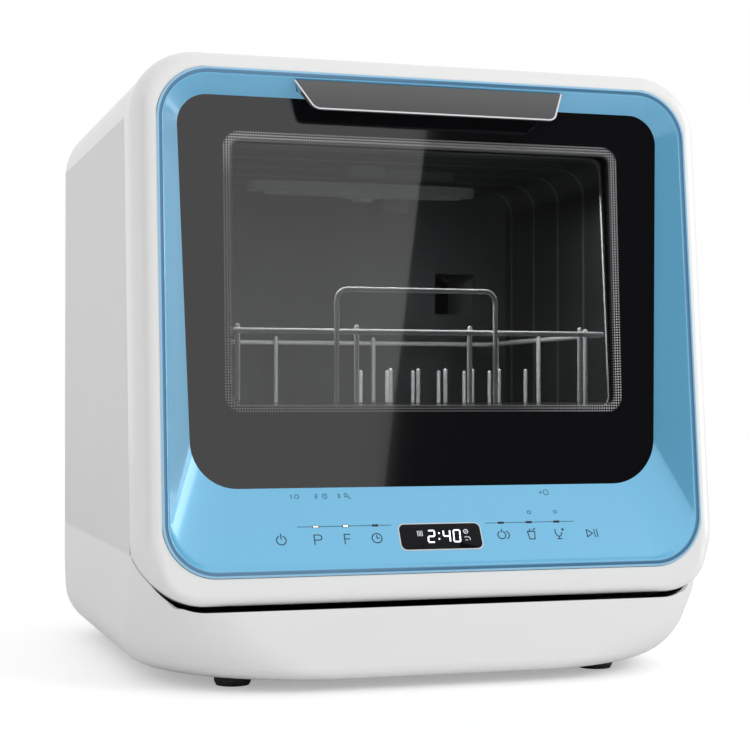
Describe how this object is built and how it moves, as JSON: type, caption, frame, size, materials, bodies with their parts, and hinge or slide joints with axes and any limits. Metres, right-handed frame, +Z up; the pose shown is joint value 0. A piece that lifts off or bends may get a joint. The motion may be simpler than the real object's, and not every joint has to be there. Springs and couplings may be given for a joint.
{
  "type": "countertop dishwasher",
  "caption": "Tabletop dishwasher with a drop-down glass door in a sloping bezel, a pull-out wire rack, turning spray arms, pumps, heater and a built-in water tank.",
  "frame": {"origin": "bottom centre of the bounding box: on the worktop, midway between the sides and midway between the base front and the rear connectors", "axes": "+X to the right seen from the front, +Y from the door to the back wall, +Z up"},
  "size_m": [0.42, 0.435, 0.4352],
  "materials": {
    "white_shell": "satin white moulding",
    "side_sheet": "powder-coated sheet, light grey white",
    "blue_bezel": "light blue moulding",
    "smoked_glass": "smoked, polished",
    "clear_glass": "polished",
    "dark_grey_plastic": "dark grey moulding",
    "grey_plastic": "mid grey moulding",
    "light_plastic": "light grey moulding",
    "black_plastic": "black moulding",
    "black_rubber": "moulded rubber",
    "grey_rubber": "soft seal rubber",
    "tub_steel": "brushed stainless steel",
    "steel": "plain steel",
    "bright_trim": "bright plated strip",
    "wire_coat": "grey coating over steel wire",
    "tank_plastic": "translucent blow moulding",
    "lens": "dark display window",
    "circuit": "green circuit board"
  },
  "bodies": {
    "cabinet": {"top_cover": "white_shell", "left_side_panel": "side_sheet", "right_side_panel": "side_sheet", "rear_cover": "side_sheet", "base_tray": "white_shell", "feet": "black_rubber", "front_frame": "light_plastic", "hinge_cover": "black_plastic", "door_seal": "grey_rubber", "tub": "tub_steel", "rack_rails": "grey_plastic", "filter_plate": "tub_steel", "filter_basket": "grey_plastic", "sump": "dark_grey_plastic", "wash_pump": "dark_grey_plastic", "pump_mount": "black_rubber", "heater": "steel", "feed_pipe": "grey_plastic", "ceiling_duct": "grey_plastic", "drain_pump": "dark_grey_plastic", "drain_outlet": "grey_plastic", "water_tank": "tank_plastic", "fill_neck": "light_plastic", "inlet_valve": "light_plastic", "cord_gland": "black_rubber", "power_box": "dark_grey_plastic", "air_fan": "black_plastic", "fan_duct": "grey_plastic", "latch_striker": "grey_plastic", "lower_arm_post": "grey_plastic", "upper_arm_post": "grey_plastic", "hinge_arms": "steel", "hinge_pins": "steel", "lid_pin": "steel", "rear_screws": "steel", "water_hoses": "grey_rubber"},
    "door": {"door_frame": "white_shell", "door_bezel": "blue_bezel", "door_glass": "smoked_glass", "inner_pane": "clear_glass", "pane_gasket": "black_rubber", "door_liner": "light_plastic", "handle_plate": "dark_grey_plastic", "handle_trim": "bright_trim", "display_lens": "lens", "control_board": "circuit", "latch_hook": "grey_plastic", "hinge_leaves": "steel", "soap_cup": "light_plastic", "liner_screws": "steel"},
    "soap_slider": {"soap_lid": "grey_plastic"},
    "lower_arm": {"lower_spray_arm": "light_plastic"},
    "upper_arm": {"upper_spray_arm": "light_plastic"},
    "rack": {"rack_floor": "wire_coat", "rack_rim": "wire_coat", "rack_posts": "wire_coat", "rack_loop": "wire_coat", "plate_tines": "wire_coat", "rack_glides": "grey_plastic"},
    "fill_cap": {"fill_lid": "light_plastic"}
  },
  "joints": [
    {"name": "door_hinge", "type": "hinge", "parent": "cabinet", "child": "door", "pos_m": [0, -0.20457, 0.07043], "axis": [1, 0, 0], "range_deg": [0, 95]},
    {"name": "rack_slide", "type": "slide", "parent": "cabinet", "child": "rack", "axis": [0, -1, 0], "range_m": [0, 0.17]},
    {"name": "soap_slide", "type": "slide", "parent": "door", "child": "soap_slider", "axis": [1, 0, 0], "range_m": [0, 0.05]},
    {"name": "lower_arm_spin", "type": "hinge", "parent": "cabinet", "child": "lower_arm", "pos_m": [0, -0.0155, 0.12], "axis": [0, 0, 1], "continuous": true},
    {"name": "upper_arm_spin", "type": "hinge", "parent": "cabinet", "child": "upper_arm", "pos_m": [0, -0.0155, 0.36], "axis": [0, 0, 1], "continuous": true},
    {"name": "fill_lid_hinge", "type": "hinge", "parent": "cabinet", "child": "fill_cap", "pos_m": [-0.09, 0.171, 0.43148], "axis": [-1, 0, 0], "range_deg": [0, 95]}
  ],
  "couplings": [
    {"joint": "rack_slide", "follows": "door_hinge", "m_per_rad": 0.1022}
  ]
}
